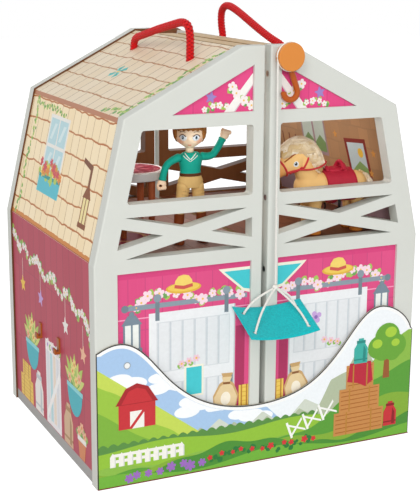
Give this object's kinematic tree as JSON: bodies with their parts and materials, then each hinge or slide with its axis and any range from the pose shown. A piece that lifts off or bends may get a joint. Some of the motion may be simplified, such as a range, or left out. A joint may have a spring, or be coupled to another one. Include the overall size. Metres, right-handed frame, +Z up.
{
  "type": "toy horse ranch",
  "caption": "Wooden toy barn in hinged halves with windows, a winch that lowers a felt sling, a hook, rope handles, a jointed doll, a saddled pony and a table.",
  "frame": {"origin": "on the floor, midway between the front of the sling and the back of the hinge barrels, at the seam of the two halves", "axes": "+X to the right half, +Y to the hinged back, +Z up"},
  "size_m": [0.3686, 0.3506, 0.4669],
  "materials": {
    "frame_paint": "satin white paint",
    "wall_print": "printed boards, satin",
    "roof_print": "printed shingles, satin",
    "panel_print": "printed panel, satin",
    "floor_print": "printed planks, satin",
    "base_paint": "grey edge",
    "magnet_steel": "bright plating",
    "hinge_steel": "satin",
    "rope": "braided cord",
    "winch_plastic": "glossy moulded plastic",
    "hook_plastic": "glossy moulded plastic",
    "white_cord": "twisted cord",
    "felt": "pressed felt",
    "card_print": "printed card, satin varnish",
    "wall_hook_plastic": "glossy moulded plastic",
    "doll_skin": "soft matt vinyl",
    "doll_hair": "matt vinyl",
    "doll_sweater": "matt vinyl",
    "doll_belt": "matt vinyl",
    "doll_trousers": "matt vinyl",
    "pony_coat": "soft matt vinyl",
    "pony_hair": "short pile",
    "saddle_cloth": "felt",
    "bridle": "flat ribbon",
    "stirrup": "matt",
    "table_print": "printed top, satin",
    "table_leg": "stained, satin"
  },
  "bodies": {
    "right_half": {"right_front_frame": "frame_paint", "right_rear_frame": "frame_paint", "right_side_wall": "wall_print", "right_steep_roof": "roof_print", "right_shallow_roof": "roof_print", "right_ridge_board": "roof_print", "right_base_board": "base_paint", "right_upper_floor": "floor_print", "right_gable_panel": "panel_print", "right_door_panel": "panel_print", "right_rear_panels": "panel_print", "right_magnets": "magnet_steel", "right_hinge_leaves": "hinge_steel", "right_hinge_screws": "hinge_steel", "right_rope_handle": "rope", "right_rope_knots": "rope", "hinge_pins": "hinge_steel", "winch_axle": "winch_plastic"},
    "left_half": {"left_front_frame": "frame_paint", "left_rear_frame": "frame_paint", "left_side_wall": "wall_print", "left_steep_roof": "roof_print", "left_shallow_roof": "roof_print", "left_ridge_board": "roof_print", "left_base_board": "base_paint", "left_upper_floor": "floor_print", "left_gable_panel": "panel_print", "left_door_panel": "panel_print", "left_rear_panels": "panel_print", "left_magnets": "magnet_steel", "left_hinge_leaves": "hinge_steel", "left_hinge_screws": "hinge_steel", "left_rope_handle": "rope", "left_rope_knots": "rope", "wall_hooks": "wall_hook_plastic"},
    "winch": {"winch_drum": "winch_plastic"},
    "hook": {"hoist_hook": "hook_plastic"},
    "sling": {"hoist_cord": "white_cord", "gather_knot": "white_cord", "sling_cords": "white_cord", "felt_sling": "felt"},
    "card": {"display_card": "card_print"},
    "doll": {"doll_pelvis": "doll_trousers", "doll_belt": "doll_belt", "doll_sweater": "doll_sweater"},
    "doll_head_turning": {"doll_head": "doll_skin", "doll_hair": "doll_hair"},
    "doll_left_arm_swinging": {"doll_left_arm": "doll_sweater"},
    "doll_right_arm_swinging": {"doll_right_arm": "doll_sweater"},
    "doll_left_leg_swinging": {"doll_left_leg": "doll_trousers"},
    "doll_right_leg_swinging": {"doll_right_leg": "doll_trousers"},
    "pony": {"pony_body": "pony_coat", "pony_mane": "pony_hair", "pony_tail": "pony_hair", "pony_saddle": "saddle_cloth", "pony_bridle": "bridle", "pony_stirrups": "stirrup"},
    "table": {"table_top": "table_print", "table_legs": "table_leg"}
  },
  "joints": [
    {"name": "left_half_swing", "type": "hinge", "parent": "right_half", "child": "left_half", "pos_m": [0, 0.1721, 0.2], "axis": [0, 0, -1], "range_deg": [0, 175]},
    {"name": "winch_turn", "type": "hinge", "parent": "right_half", "child": "winch", "pos_m": [0.0182, -0.137, 0.4194], "axis": [0, 1, 0], "range_deg": [-560, 625]},
    {"name": "sling_lift", "type": "slide", "parent": "right_half", "child": "sling", "axis": [0, 0, 1], "range_m": [-0.131, 0.145], "deforming": ["hoist_cord"]},
    {"name": "hook_swing", "type": "hinge", "parent": "right_half", "child": "hook", "pos_m": [0.0182, -0.13095, 0.4194], "axis": [0, 1, 0], "range_deg": [-60, 60]},
    {"name": "card_pull", "type": "slide", "parent": "right_half", "child": "card", "axis": [0, -1, 0], "range_m": [0, 0.1]},
    {"name": "doll_lift", "type": "slide", "parent": "left_half", "child": "doll", "axis": [0, 0, 1], "range_m": [0, 0.02]},
    {"name": "doll_head_turn", "type": "hinge", "parent": "doll", "child": "doll_head_turning", "pos_m": [-0.06, -0.0773, 0.3223], "axis": [0, 0, 1], "range_deg": [-60, 60]},
    {"name": "doll_left_shoulder", "type": "hinge", "parent": "doll", "child": "doll_left_arm_swinging", "pos_m": [-0.0465, -0.0773, 0.3173], "axis": [-1, 0, 0], "range_deg": [-150, 30]},
    {"name": "doll_right_shoulder", "type": "hinge", "parent": "doll", "child": "doll_right_arm_swinging", "pos_m": [-0.0735, -0.0773, 0.3173], "axis": [-1, 0, 0], "range_deg": [-30, 150]},
    {"name": "doll_left_hip", "type": "hinge", "parent": "doll", "child": "doll_left_leg_swinging", "pos_m": [-0.0521, -0.0773, 0.2873], "axis": [-1, 0, 0], "range_deg": [0, 18]},
    {"name": "doll_right_hip", "type": "hinge", "parent": "doll", "child": "doll_right_leg_swinging", "pos_m": [-0.0679, -0.0773, 0.2873], "axis": [-1, 0, 0], "range_deg": [0, 18]},
    {"name": "pony_lift", "type": "slide", "parent": "right_half", "child": "pony", "axis": [0, 0, 1], "range_m": [0, 0.02]},
    {"name": "table_lift", "type": "slide", "parent": "left_half", "child": "table", "axis": [0, 0, 1], "range_m": [0, 0.02]}
  ],
  "couplings": [
    {"joint": "sling_lift", "follows": "winch_turn", "m_per_rad": 0.0132}
  ]
}
